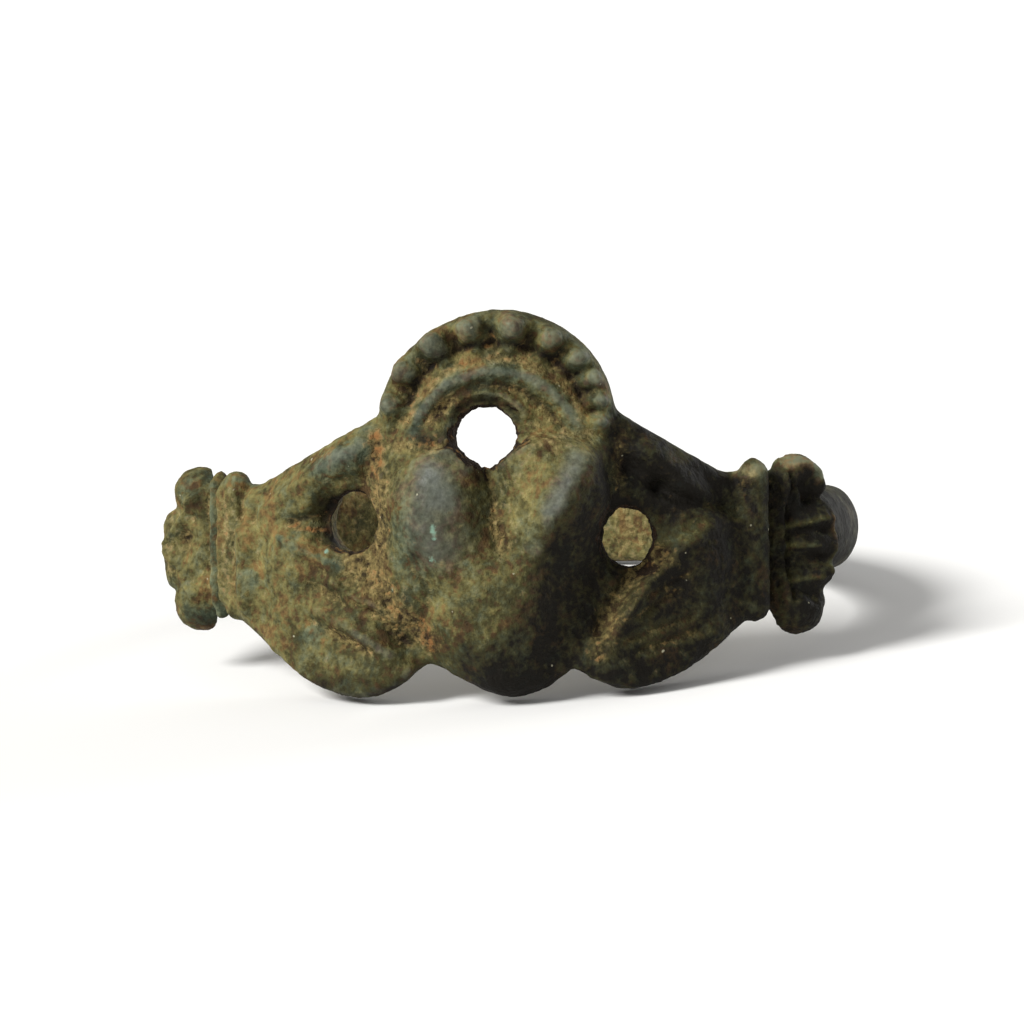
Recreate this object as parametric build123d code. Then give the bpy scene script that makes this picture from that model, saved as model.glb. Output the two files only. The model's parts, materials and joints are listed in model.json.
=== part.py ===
from build123d import *
from collections import namedtuple
from math import asin, atan2, cos, degrees, pi, radians, sin
import os

# A cast finger ring: two cuffed hands hold a crowned heart, and a plain hoop
# closes the ring behind them. It is cast in one piece, so it is one solid.
#
# While it is modelled, the ring stands upright: the finger's axis is Z and the
# heart faces -Y. Places on the bezel are "across", a length along its curve
# from the middle to the viewer's right, and "up", a height above the hoop's
# middle plane. All lengths are in millimetres.

# The hoop
FINGER_RADIUS = 9.0
HOOP_THICKNESS = 1.5
HOOP_WIDTH = 2.6
HOOP_SHOULDER = 0.8  # flat height of the hoop's edge before its outside rounds over

# The bezel's backing plate
BACK_RELIEF = 0.3  # the bezel's back lies this much outside the finger hole
HOOP_SETBACK = 0.15  # behind the bezel the hoop lies this much below the plate's face
PLATE_THICKNESS = 1.0

# The heart
HEART_ACROSS = 0.15
HEART_HALF_WIDTH = 3.45
HEART_RISE = 3.13  # from the hoop's middle plane up to its higher lobe
HEART_DROP = 4.78  # and down to its point
HEART_CREST = 1.5  # height of its dome above the plate
HEART_DOME_DEPTH = 3.0  # depth of the ellipsoids that shape the dome

# The crown
CROWN_ACROSS = 0.05
CROWN_HALF_WIDTH = 3.7
CROWN_TOP = 7.0
CROWN_SPRING = 3.8  # where its arch starts, above the hoop's middle plane
CROWN_PELLET_RADIUS = 0.4
CROWN_PELLET_LENGTH = 0.52
CROWN_PELLET_INSET = 0.52  # from the crown's edge to the pellets' outer ends
CROWN_ARC_RADIUS = 2.6
CROWN_ARC_UP = 2.57  # the middle of that arc, above the hoop's middle plane
CROWN_ARC_THICKNESS = 0.5
CROWN_LIP_THICKNESS = 0.3
CROWN_LIP_MARGIN = 0.45  # from the hole's edge to the middle of its lip

# The hands
HAND_LENGTH = 7.85  # from the heart's middle to the wrist, along the bezel
THUMB_RISE = 3.86
THUMB_RADIUS = 0.95
FIST_DROP = 4.66
FINGER_THICKNESS = 1.2
PALM_THICKNESS = 0.4  # the palm stands this much above the plate
FINGER_CREST = 0.6  # height of thumb and fingers above the plate
HAND_BACK_CREST = 0.7
HAND_BACK_DEPTH = 1.6  # depth of the ellipsoid that shapes the back of the hand
WRIST_RISE = 1.4
WRIST_DROP = 2.45

# The cuffs
WRIST_GAP = 0.4  # from the wrist to the band
BAND_RADIUS = 0.45
BAND_RISE = 2.3
BAND_DROP = 2.6
CORD_RADIUS = 0.25
CORD_GAP = 0.4  # between band and cord
CUFF_CREST = 0.7  # height of band and frill above the plate
FRILL_LENGTH = 2.6  # from the cord to the outer end of its middle fold
FRILL_HALF_HEIGHT = 2.6
FRILL_FLARE = 1.0  # how far the folds' tips stand out beyond the band
FRILL_ROOT_RADIUS = 0.3

# The pierced holes
CROWN_HOLE_ACROSS = -0.27
CROWN_HOLE_UP = 3.17
CROWN_HOLE_RADIUS = 0.96
HAND_HOLE_WIDTH = 1.58
HAND_HOLE_HEIGHT = 1.75

PLATE_BACK = FINGER_RADIUS + BACK_RELIEF
PLATE_FRONT = PLATE_BACK + PLATE_THICKNESS
HOOP_OUTSIDE = FINGER_RADIUS + HOOP_THICKNESS
CUTTER_HEIGHT = 4 * (CROWN_TOP + HEART_DROP)
CUTTER_DEPTH = 2 * PLATE_FRONT

# The two hands differ as hand-cut moulds do. Reach, drop, gap, cuff and frill are
# shares of the hand's length, the fist's drop, the wrist's gap, the cuff's height
# and the frill's length. The hole's place is a share of the hand's own length and
# drop, and its height is a share of HAND_HOLE_HEIGHT.
Side = namedtuple("Side", "sign reach drop gap cuff frill hole_across hole_up hole_height hole_lean")
SIDES = [
    Side(-1, 1.04, 1.02, 1.85, 0.94, 1.14, 0.55, 0.125, 0.93, -20),
    Side(+1, 0.96, 0.98, 1.0, 1.03, 0.52, 0.53, 0.01, 1.08, 0),
]

# The heart's outline clockwise from its notch. Across is a share of its half
# width from its middle; up is a share of its rise above the hoop's middle plane
# and of its drop below it.
Mark = namedtuple("Mark", "across up")
HEART_ARCS = [
    (Mark(-0.03, 0.65), Mark(0.56, 1.0), Mark(1.0, 0.42)),
    (Mark(1.0, 0.42), Mark(0.93, -0.22), Mark(0.68, -0.75)),
    (Mark(0.68, -0.75), Mark(0.42, -0.91), Mark(0.09, -1.0)),
    (Mark(0.09, -1.0), Mark(-0.3, -0.9), Mark(-0.62, -0.77)),
    (Mark(-0.62, -0.77), Mark(-0.92, -0.25), Mark(-1.02, 0.43)),
    (Mark(-1.02, 0.43), Mark(-0.58, 0.93), Mark(-0.03, 0.65)),
]

# The domes of the heart: two lobes and the belly below them. Places are shares
# as above, and the half axes are shares of the heart's half width and drop.
Dome = namedtuple("Dome", "across up half_width half_height crest")
HEART_DOMES = [
    Dome(-0.5, 0.3, 0.74, 0.68, 1.0),
    Dome(0.5, 0.38, 0.76, 0.64, 1.0),
    Dome(0.05, -0.26, 0.97, 0.95, 0.85),
]

# The crown's outline from its left foot over its top to its right foot, as
# shares of its half width and of its height above the spring line.
CROWN_ARCS = [
    (Mark(-1.0, 0.02), Mark(-0.635, 0.725), Mark(0.07, 1.0)),
    (Mark(0.07, 1.0), Mark(0.66, 0.735), Mark(0.98, 0.0)),
]
Pellet = namedtuple("Pellet", "angle size")  # degrees from upright, share of the radius
CROWN_PELLETS = [
    Pellet(-82, 0.9),
    Pellet(-59, 1.0),
    Pellet(-35, 1.1),
    Pellet(-13, 1.1),
    Pellet(10, 1.15),
    Pellet(32, 1.05),
    Pellet(51, 0.85),
    Pellet(67, 0.8),
    Pellet(81, 0.75),
    Pellet(95, 0.7),
]
CROWN_ARC_SPAN = 72  # degrees to each side of upright
CROWN_LIP_SPAN = 52

# The hand's lower outline from the heart to the wrist, and the palm's upper edge
# from the heart round the hole, as shares of the hand's length and drop.
FIST_ARCS = [
    (Mark(0.31, -0.82), Mark(0.4, -0.94), Mark(0.54, -1.0)),
    (Mark(0.54, -1.0), Mark(0.74, -0.915), Mark(0.925, -0.74)),
]
PALM_ARC = (Mark(0.42, -0.6), Mark(0.6, -0.26), Mark(0.75, 0.0))
PALM_WRIST_SHARE = 0.4  # the palm's upper edge meets the wrist at this share of its rise

# Fingers from knuckle to tip: across as shares of the hand's length, up as
# shares of the fist's drop, and thickness as shares of a finger's thickness.
Finger = namedtuple("Finger", "knuckle_across knuckle_up tip_across tip_up knuckle tip")
FINGERS = [
    Finger(0.84, -0.13, 0.52, -0.46, 1.1, 0.85),
    Finger(0.86, -0.3, 0.46, -0.61, 1.1, 0.85),
    Finger(0.88, -0.46, 0.43, -0.75, 1.1, 0.85),
    Finger(0.9, -0.62, 0.47, -0.86, 1.0, 0.85),
]
HAND_BACK = Dome(0.84, -0.12, 0.24, 0.42, 1.0)  # shares of the same two sizes

# The frill's folds from top to bottom: place of the tip as a share of the
# frill's length and half height, and its radius as a share of the half height.
Fold = namedtuple("Fold", "out up radius")
FRILL_FOLDS = [
    Fold(0.47, 0.58, 0.35),
    Fold(0.7, 0.2, 0.2),
    Fold(0.74, -0.12, 0.27),
    Fold(0.7, -0.44, 0.2),
    Fold(0.48, -0.8, 0.36),
]
FRILL_WEB_SHARE = 0.62  # the sheet between the folds ends at this share of the frill's length


def turn_to(across):
    """The angle from the heart's middle round to a place on the bezel, in radians."""
    return across / PLATE_FRONT


def on_bezel(across, up, radius):
    """The point at this place on the bezel, this far from the finger's axis."""
    turn = turn_to(across)
    return Vector(radius * sin(turn), -radius * cos(turn), up)


def seen(across, up):
    """Where the front view shows a place on the plate's face, on the plane y = 0."""
    return Vector(PLATE_FRONT * sin(turn_to(across)), 0, up)


def through_bezel(outline_edges):
    """A solid that cuts straight back through the bezel along a front-view outline."""
    outline = Face(Wire(outline_edges))
    return extrude(outline, amount=CUTTER_DEPTH, dir=(0, -1, 0))


def round_cone(start, start_radius, end, end_radius):
    """A rod with ball ends from start to end, whose radius tapers between them."""
    length = (end - start).length
    lean = asin((start_radius - end_radius) / length)
    low_mid = (lean - pi / 2) / 2
    high_mid = (lean + pi / 2) / 2
    low = Vector(start_radius * cos(lean), 0, start_radius * sin(lean))
    high = Vector(end_radius * cos(lean), 0, length + end_radius * sin(lean))
    foot = Vector(0, 0, -start_radius)
    top = Vector(0, 0, length + end_radius)
    low_arc_mid = Vector(start_radius * cos(low_mid), 0, start_radius * sin(low_mid))
    high_arc_mid = Vector(end_radius * cos(high_mid), 0, length + end_radius * sin(high_mid))
    profile = Wire([
        ThreePointArc(foot, low_arc_mid, low),
        Line(low, high),
        ThreePointArc(high, high_arc_mid, top),
        Line(top, foot),
    ])
    rod = revolve(Face(profile), axis=Axis.Z)
    return Plane(origin=start, z_dir=end - start).location * rod


def dome(across, up, half_width, half_height, crest, depth):
    """An ellipsoid whose crest stands this high above the plate, square to the bezel."""
    ball = scale(Sphere(1), by=(half_width, depth, half_height))
    turned = Rot(0, 0, degrees(turn_to(across))) * ball
    centre = on_bezel(across, up, PLATE_FRONT + crest - depth)
    return Pos(*centre) * turned


def heart_place(mark):
    """A place of the heart's outline, in across and up."""
    reach = HEART_RISE if mark.up > 0 else HEART_DROP
    return HEART_ACROSS + mark.across * HEART_HALF_WIDTH, mark.up * reach


def heart_edges():
    return [ThreePointArc(*(seen(*heart_place(m)) for m in arc)) for arc in HEART_ARCS]


def heart():
    """The heart: its outline cut from three domes, two lobes over a belly."""
    domes = [
        dome(
            *heart_place(d),
            d.half_width * HEART_HALF_WIDTH,
            d.half_height * HEART_DROP,
            d.crest * HEART_CREST,
            HEART_DOME_DEPTH,
        )
        for d in HEART_DOMES
    ]
    swollen = domes[0] + domes[1] + domes[2]
    return swollen & through_bezel(heart_edges())


def crown_edges():
    """The crown's outline, closed below its feet, behind the heart."""
    rise = CROWN_TOP - CROWN_SPRING
    arcs = []
    for arc in CROWN_ARCS:
        places = [
            (CROWN_ACROSS + m.across * CROWN_HALF_WIDTH, CROWN_SPRING + m.up * rise)
            for m in arc
        ]
        arcs.append(ThreePointArc(*(seen(*p) for p in places)))
    left, right = arcs[0] @ 0, arcs[-1] @ 1
    low_left = seen(CROWN_ACROSS - CROWN_HALF_WIDTH, 0)
    low_right = seen(CROWN_ACROSS + CROWN_HALF_WIDTH, 0)
    return arcs + [Line(right, low_right), Line(low_right, low_left), Line(low_left, left)]


def crown_pellets():
    """Pear-shaped pellets round the arch, their thick ends outward."""
    half_width = CROWN_HALF_WIDTH - CROWN_PELLET_INSET
    rise = CROWN_TOP - CROWN_SPRING - CROWN_PELLET_INSET
    pellets = []
    for p in CROWN_PELLETS:
        turn = radians(p.angle)
        radius = p.size * CROWN_PELLET_RADIUS
        depth = PLATE_FRONT + radius / 4
        out = (CROWN_ACROSS + half_width * sin(turn), CROWN_SPRING + rise * cos(turn))
        inward = (out[0] - CROWN_PELLET_LENGTH * sin(turn), out[1] - CROWN_PELLET_LENGTH * cos(turn))
        pellets.append(round_cone(on_bezel(*out, depth), radius, on_bezel(*inward, depth), radius / 2))
    return pellets


def bent_rod(across, up, radius, thickness, span):
    """A round moulding that lies half sunk in the plate, along an arc over this middle."""
    turns = [radians(90 - a) for a in (-span, 0, span)]
    places = [(across + radius * cos(t), up + radius * sin(t)) for t in turns]
    path = ThreePointArc(*(on_bezel(*p, PLATE_FRONT) for p in places))
    section = Plane(origin=path @ 0, z_dir=path % 0) * Circle(thickness / 2)
    return sweep(section, path=path)


def crown_arc():
    """The smooth arc inside the pellets."""
    return bent_rod(
        CROWN_ACROSS, CROWN_ARC_UP, CROWN_ARC_RADIUS, CROWN_ARC_THICKNESS, CROWN_ARC_SPAN
    )


def crown_lip():
    """The thin lip round the upper side of the crown's hole."""
    radius = CROWN_HOLE_RADIUS + CROWN_LIP_MARGIN
    return bent_rod(
        CROWN_HOLE_ACROSS, CROWN_HOLE_UP, radius, CROWN_LIP_THICKNESS, CROWN_LIP_SPAN
    )


def hand_place(side, mark):
    """A place on a hand, in across and up."""
    return side.sign * mark.across * side.reach * HAND_LENGTH, mark.up * side.drop * FIST_DROP


def cuff_start(side):
    return side.reach * HAND_LENGTH + side.gap * WRIST_GAP


def band_across(side):
    return cuff_start(side) + BAND_RADIUS


def cord_across(side):
    return band_across(side) + BAND_RADIUS + CORD_GAP + CORD_RADIUS


def fist_edges(side):
    """The hand's lower outline, from the heart to the wrist under the band."""
    arcs = [ThreePointArc(*(seen(*hand_place(side, m)) for m in arc)) for arc in FIST_ARCS]
    return arcs + [Line(arcs[-1] @ 1, seen(side.sign * band_across(side), -WRIST_DROP))]


def hand_edges(side):
    """The outline of a hand from its wrist over the thumb and round under the fist."""
    wrist = side.sign * band_across(side)
    crown_foot = CROWN_ACROSS + side.sign * CROWN_HALF_WIDTH
    top_wrist = seen(wrist, WRIST_RISE)
    thumb_end = seen(crown_foot, THUMB_RISE)
    inside_top = seen(HEART_ACROSS, THUMB_RISE)
    inside_low = seen(HEART_ACROSS, -HEART_DROP / 2)
    fist = fist_edges(side)
    return fist + [
        Line(fist[-1] @ 1, top_wrist),
        Line(top_wrist, thumb_end),
        Line(thumb_end, inside_top),
        Line(inside_top, inside_low),
        Line(inside_low, fist[0] @ 0),
    ]


def palm(side):
    """The palm: a step above the plate, with the fingers and the back of the hand on it."""
    upper = ThreePointArc(*(seen(*hand_place(side, m)) for m in PALM_ARC))
    wrist = seen(side.sign * band_across(side), PALM_WRIST_SHARE * WRIST_RISE)
    fist = fist_edges(side)
    outline = fist + [
        Line(fist[-1] @ 1, wrist),
        Line(wrist, upper @ 1),
        upper,
        Line(upper @ 0, fist[0] @ 0),
    ]
    return through_bezel(outline) & Cylinder(PLATE_FRONT + PALM_THICKNESS, CUTTER_HEIGHT)


def finger(side, row):
    """One finger from its knuckle to its tip."""
    crest = PLATE_FRONT + FINGER_CREST
    knuckle_radius = row.knuckle * FINGER_THICKNESS / 2
    tip_radius = row.tip * FINGER_THICKNESS / 2
    knuckle = hand_place(side, Mark(row.knuckle_across, row.knuckle_up))
    tip = hand_place(side, Mark(row.tip_across, row.tip_up))
    return round_cone(
        on_bezel(*knuckle, crest - knuckle_radius), knuckle_radius,
        on_bezel(*tip, crest - tip_radius), tip_radius,
    )


def thumb(side):
    """The thumb, which runs along the hand's upper edge to the crown's foot."""
    depth = PLATE_FRONT + FINGER_CREST - THUMB_RADIUS
    root_across = side.sign * 0.9 * side.reach * HAND_LENGTH
    tip_across = CROWN_ACROSS + side.sign * (CROWN_HALF_WIDTH + THUMB_RADIUS)
    return round_cone(
        on_bezel(root_across, WRIST_RISE - THUMB_RADIUS, depth), THUMB_RADIUS,
        on_bezel(tip_across, THUMB_RISE - 1.6 * THUMB_RADIUS, depth), 0.9 * THUMB_RADIUS,
    )


def hand(side):
    """What is raised on a hand: palm, back of the hand, thumb and four fingers."""
    back = dome(
        *hand_place(side, HAND_BACK),
        HAND_BACK.half_width * HAND_LENGTH,
        HAND_BACK.half_height * FIST_DROP,
        HAND_BACK.crest * HAND_BACK_CREST,
        HAND_BACK_DEPTH,
    )
    return [palm(side), back, thumb(side)] + [finger(side, row) for row in FINGERS]


def upright_rod(side, across, radius, crest):
    """A rod with ball ends that lies along the finger's axis, as high as the band."""
    depth = PLATE_FRONT + crest - radius
    low = on_bezel(side.sign * across, radius - side.cuff * BAND_DROP, depth)
    high = on_bezel(side.sign * across, side.cuff * BAND_RISE - radius, depth)
    return round_cone(low, radius, high, radius)


def fold(side, row):
    """One fold of the frill, from the cord out to its thick round end, flat at the back."""
    half_height = side.cuff * FRILL_HALF_HEIGHT
    radius = row.radius * half_height
    crest = PLATE_FRONT + CUFF_CREST
    root_across = side.sign * cord_across(side)
    tip_across = root_across + side.sign * row.out * side.frill * FRILL_LENGTH
    whole = round_cone(
        on_bezel(root_across, 0.5 * row.up * half_height, crest - 2 * FRILL_ROOT_RADIUS),
        FRILL_ROOT_RADIUS,
        on_bezel(tip_across, row.up * half_height, crest + row.out * FRILL_FLARE - radius),
        radius,
    )
    return whole - Cylinder(PLATE_FRONT, CUTTER_HEIGHT)


def cuff_plate(side):
    """The curved plate behind band and cord."""
    start = turn_to(cuff_start(side))
    end = turn_to(cord_across(side) + CORD_RADIUS)
    inside = FINGER_RADIUS - PLATE_THICKNESS
    low = BAND_RADIUS - side.cuff * BAND_DROP
    high = side.cuff * BAND_RISE - BAND_RADIUS
    section = Polyline(
        (inside, 0, low), (PLATE_FRONT + CUFF_CREST / 2, 0, low),
        (PLATE_FRONT + CUFF_CREST / 2, 0, high), (inside, 0, high), close=True,
    )
    sector = revolve(Face(Wire(section)), axis=Axis.Z, revolution_arc=degrees(end - start))
    first = start if side.sign > 0 else -end
    return Rot(0, 0, degrees(first) - 90) * sector


def frill_web(side):
    """The flared sheet that joins the folds, from the cord outward."""
    start = side.sign * cord_across(side)
    end = start + side.sign * FRILL_WEB_SHARE * side.frill * FRILL_LENGTH
    root = PLATE_FRONT + CUFF_CREST - 2 * FRILL_ROOT_RADIUS
    plan = Polyline(
        on_bezel(start, 0, PLATE_FRONT), on_bezel(start, 0, root),
        on_bezel(end, 0, root + FRILL_WEB_SHARE * FRILL_FLARE), on_bezel(end, 0, PLATE_FRONT),
        close=True,
    )
    low = BAND_RADIUS - side.cuff * BAND_DROP
    high = side.cuff * BAND_RISE - BAND_RADIUS
    return Pos(0, 0, low) * extrude(Face(Wire(plan)), amount=high - low, dir=(0, 0, 1))


def cuff(side):
    """The cuff: a plate with a round band, a thin cord beside it and a frill of folds."""
    band = upright_rod(side, band_across(side), BAND_RADIUS, CUFF_CREST)
    cord = upright_rod(side, cord_across(side), CORD_RADIUS, CUFF_CREST - CORD_RADIUS)
    folds = [fold(side, row) for row in FRILL_FOLDS]
    return [cuff_plate(side), band, cord, frill_web(side)] + folds


def plate():
    """The plate behind heart, crown and hands, not yet hollowed for the finger."""
    outline = through_bezel(heart_edges()) + through_bezel(crown_edges())
    for side in SIDES:
        outline = outline + through_bezel(hand_edges(side))
    return outline & Cylinder(PLATE_FRONT, CUTTER_HEIGHT)


def hoop():
    """The hoop, rounded outside, thinner behind the bezel and not yet hollowed."""
    half = HOOP_WIDTH / 2
    inside = FINGER_RADIUS - HOOP_THICKNESS
    shoulder = FINGER_RADIUS + HOOP_SHOULDER
    section = Wire([
        Line((inside, 0, -half), (shoulder, 0, -half)),
        ThreePointArc((shoulder, 0, -half), (HOOP_OUTSIDE, 0, 0), (shoulder, 0, half)),
        Line((shoulder, 0, half), (inside, 0, half)),
        Line((inside, 0, half), (inside, 0, -half)),
    ])
    whole = revolve(Face(section), axis=Axis.Z)
    cuff_turn = turn_to(min(band_across(side) for side in SIDES))
    front = Box(4 * HOOP_OUTSIDE, 2 * HOOP_OUTSIDE, 2 * HOOP_WIDTH)
    front = Pos(0, -HOOP_OUTSIDE - PLATE_FRONT * cos(cuff_turn), 0) * front
    return whole - (front - Cylinder(PLATE_FRONT - HOOP_SETBACK, 4 * HOOP_WIDTH))


def finger_space():
    """The space inside the ring: the hoop's bore, relieved above and below it."""
    half = HOOP_WIDTH / 2
    section = Polyline(
        (0, 0, -CUTTER_HEIGHT), (PLATE_BACK, 0, -CUTTER_HEIGHT), (PLATE_BACK, 0, -half),
        (FINGER_RADIUS, 0, -half), (FINGER_RADIUS, 0, half), (PLATE_BACK, 0, half),
        (PLATE_BACK, 0, CUTTER_HEIGHT), (0, 0, CUTTER_HEIGHT), close=True,
    )
    return revolve(Face(Wire(section)), axis=Axis.Z)


def pierced_holes():
    """The hole under the crown and the one between thumb and fingers of each hand."""
    crown_middle = seen(CROWN_HOLE_ACROSS, CROWN_HOLE_UP)
    holes = [Plane(origin=crown_middle, z_dir=(0, -1, 0)) * Circle(CROWN_HOLE_RADIUS)]
    for side in SIDES:
        middle = seen(*hand_place(side, Mark(side.hole_across, side.hole_up)))
        face_on = Plane(origin=middle, x_dir=(1, 0, 0), z_dir=(0, -1, 0))
        outline = Ellipse(HAND_HOLE_WIDTH / 2, side.hole_height * HAND_HOLE_HEIGHT / 2)
        holes.append(face_on * Rot(0, 0, side.hole_lean) * outline)
    return [extrude(h, amount=CUTTER_DEPTH, dir=(0, -1, 0)) for h in holes]


def upright_ring():
    """The whole ring with the finger's axis on Z."""
    cuffs = [piece for side in SIDES for piece in cuff(side)]
    hands = [piece for side in SIDES for piece in hand(side)]
    crown = crown_pellets() + [crown_arc(), crown_lip()]
    ring = hoop()
    for piece in cuffs + [plate(), heart()] + crown + hands:
        ring = ring + piece
    for space in [finger_space()] + pierced_holes():
        ring = ring - space
    return ring


def fist_foot(side):
    """The lowest point of a fist, where the ring rests."""
    across, up = hand_place(side, FIST_ARCS[0][2])
    return on_bezel(across, up, PLATE_BACK)


def rest_pose(ring):
    """Lays the ring down: it leans back on the hoop's rear edge and on both fists."""
    left, right = (fist_foot(side) for side in SIDES)
    middle = (left + right) / 2
    rear = FINGER_RADIUS + HOOP_SHOULDER
    roll = degrees(atan2(right.Z - left.Z, right.X - left.X))
    tilt = degrees(atan2(-HOOP_WIDTH / 2 - middle.Z, rear - middle.Y))
    turned = Rot(-tilt, 0, 0) * Rot(0, roll, 0)
    box = (turned * ring).bounding_box()
    down = Pos(-box.center().X, -box.center().Y, -box.min.Z)
    print("tilt", tilt, "roll", roll)
    print("bore middle", down.position, "bore axis", (turned * Pos(0, 0, 1)).position)
    return down * turned * ring


os.makedirs("parts", exist_ok=True)
cast_ring = rest_pose(upright_ring())
export_step(cast_ring, "parts/cast_ring.step")
print("solids", len(cast_ring.solids()), "volume", cast_ring.volume, "box", cast_ring.bounding_box())
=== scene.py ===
# %% [markdown]
# # An excavated claddagh ring
#
# Two cuffed hands hold a crowned heart on this old finger ring. It was cast in one piece
# from a copper alloy and lay in the ground for a long time. The exact solid model has its
# sizes. This notebook gives it what the ground and the caster left behind: soft worn
# edges, a pitted skin, an olive-brown patina, and soil in the hollows.
#
# Each step first says what the real ring has, then how the step makes it.

# %% Load the exact model
import json
from collections import namedtuple
from math import asin, atan2, cos, degrees, radians, sin

import bmesh
import bpy
import numpy as np
from mathutils import Matrix, Vector, noise


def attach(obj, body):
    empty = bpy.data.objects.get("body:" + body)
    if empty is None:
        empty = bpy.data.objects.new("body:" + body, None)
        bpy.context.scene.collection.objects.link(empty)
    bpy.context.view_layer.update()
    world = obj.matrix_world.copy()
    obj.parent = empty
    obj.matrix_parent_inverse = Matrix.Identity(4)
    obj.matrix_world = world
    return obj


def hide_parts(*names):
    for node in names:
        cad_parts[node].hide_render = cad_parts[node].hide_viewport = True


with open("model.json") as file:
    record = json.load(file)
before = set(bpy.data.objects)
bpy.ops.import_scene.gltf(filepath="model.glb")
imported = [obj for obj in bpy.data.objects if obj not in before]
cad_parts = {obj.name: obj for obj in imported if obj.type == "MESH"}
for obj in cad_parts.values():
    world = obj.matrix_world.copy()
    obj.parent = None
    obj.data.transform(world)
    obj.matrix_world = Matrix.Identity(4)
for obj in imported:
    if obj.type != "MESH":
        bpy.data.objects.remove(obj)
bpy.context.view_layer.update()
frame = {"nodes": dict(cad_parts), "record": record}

# %% [markdown]
# ## The ring's own directions
#
# The ring lies tilted, leaning back on its hoop. Everything on the bezel is easier to
# place on the upright ring: "across" is a length round the bezel's curve from the middle
# of the heart to the viewer's right, "up" is the height above the hoop's middle, and
# "reach" is the distance from the finger's axis. The finger hole is stated in the record,
# so its middle and axis give the turn between the lying ring and the upright one.

# %% Turn between the lying ring and the upright ring
MM = 1000.0  # millimetres in a metre
FACE_RADIUS = 10.3  # from the finger's axis to the bezel's plain face, in millimetres

bore = next(m for m in frame["record"]["mounts"] if m["name"] == "finger_bore")
bore_middle = MM * np.array(bore["pos_m"])
roll = asin(bore["axis"][0])
tilt = atan2(bore["axis"][1], bore["axis"][2])
lying = np.array(Matrix.Rotation(-tilt, 3, "X") @ Matrix.Rotation(roll, 3, "Y"))
print("leans back by", round(degrees(tilt), 2), "degrees and rolls by", round(degrees(roll), 2))


def on_bezel(places):
    """Across, up and reach of places on the lying ring, all in millimetres."""
    upright = (places - bore_middle) @ lying
    turn = np.arctan2(upright[:, 0], -upright[:, 1])
    return FACE_RADIUS * turn, upright[:, 2], np.hypot(upright[:, 0], upright[:, 1])


# %% [markdown]
# ## From exact solid to casting
#
# A casting has no sharp edge, and wear rounds it further. The exact solid's faces have
# very different sizes, which can't be rounded evenly, so a voxel remesh first rebuilds its
# surface from small squares of one size. Blender's voxels can't be finer than a tenth of a
# millimetre in metres, so the copy is worked on in millimetres and shrunk back at the end.

# %% Rebuild the surface from even squares
VOXEL = 0.088  # millimetres, under a third of the thickness of the crown's lip

casting = bpy.data.objects.new("corroded_ring", frame["nodes"]["cast_ring"].data.copy())
bpy.context.scene.collection.objects.link(casting)
casting.data.transform(Matrix.Scale(MM, 4))
remesh = casting.modifiers.new("even squares", "REMESH")
remesh.mode = "VOXEL"
remesh.voxel_size = VOXEL
graph = bpy.context.evaluated_depsgraph_get()
skin = bpy.data.meshes.new_from_object(casting.evaluated_get(graph))
casting.modifiers.clear()
casting.data = skin
print("squares", len(skin.polygons), "triangles", 2 * len(skin.polygons))

# %% [markdown]
# Where two surfaces of the exact solid almost touch, the voxels can leave a closed bubble
# of a few corners. The corners are grouped into parts that hang together, and every part
# but the casting itself is deleted.

# %% Delete the bubbles


def parts_of(shape):
    """The lists of corners that hang together."""
    waiting, parts = set(shape.verts), []
    while waiting:
        part = [waiting.pop()]
        for corner in part:
            found = [edge.other_vert(corner) for edge in corner.link_edges]
            part += [other for other in found if other in waiting]
            waiting.difference_update(found)
        parts.append(part)
    return parts


shape = bmesh.new()
shape.from_mesh(skin)
parts = sorted(parts_of(shape), key=len)
for bubble in parts[:-1]:
    bmesh.ops.delete(shape, geom=bubble, context="VERTS")
shape.to_mesh(skin)
shape.free()
print("bubbles deleted", len(parts) - 1)

# %% [markdown]
# ## Softening
#
# Each round of smoothing moves every corner towards the middle of its neighbours, as
# polishing and wear do. A Smooth modifier with a vertex group for each amount of wear
# could do this. Here the corners go into an array instead, because the same smoothing
# blends the soil in later and measures the hollows.

# %% Read the corners and their neighbours
places = np.empty(len(skin.vertices) * 3)
skin.vertices.foreach_get("co", places)
places = places.reshape(-1, 3)
edges = np.empty(len(skin.edges) * 2, dtype=np.int32)
skin.edges.foreach_get("vertices", edges)
ends = np.concatenate([edges[0::2], edges[1::2]])
others = np.concatenate([edges[1::2], edges[0::2]])
neighbours = np.bincount(ends, minlength=len(places))
print("corners", len(places), "edges", len(skin.edges))


def soften(values, rounds):
    """Values after some rounds of moving each one halfway to its neighbours' mean."""
    columns = values.reshape(len(values), -1).T.copy()
    for _ in range(rounds):
        for column in columns:
            mean = np.bincount(ends, weights=column[others], minlength=len(column)) / neighbours
            column += (mean - column) / 2
    return columns.T.reshape(values.shape)


def smooth_step(low, high, values):
    """0 on the low side, 1 on the high side, and an even curve between."""
    t = np.clip((values - low) / (high - low), 0, 1)
    return t * t * (3 - 2 * t)


# %% [markdown]
# A smooth step fades from 0 to 1 between two limits, and a product of such fades marks a
# region. Heart, hands, crown and hoop each lie between known lengths on the bezel, so a
# few fades are enough for each. The first limit of a pair is where the fade begins, the
# second where it is complete, in millimetres across, up or in reach.

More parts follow.
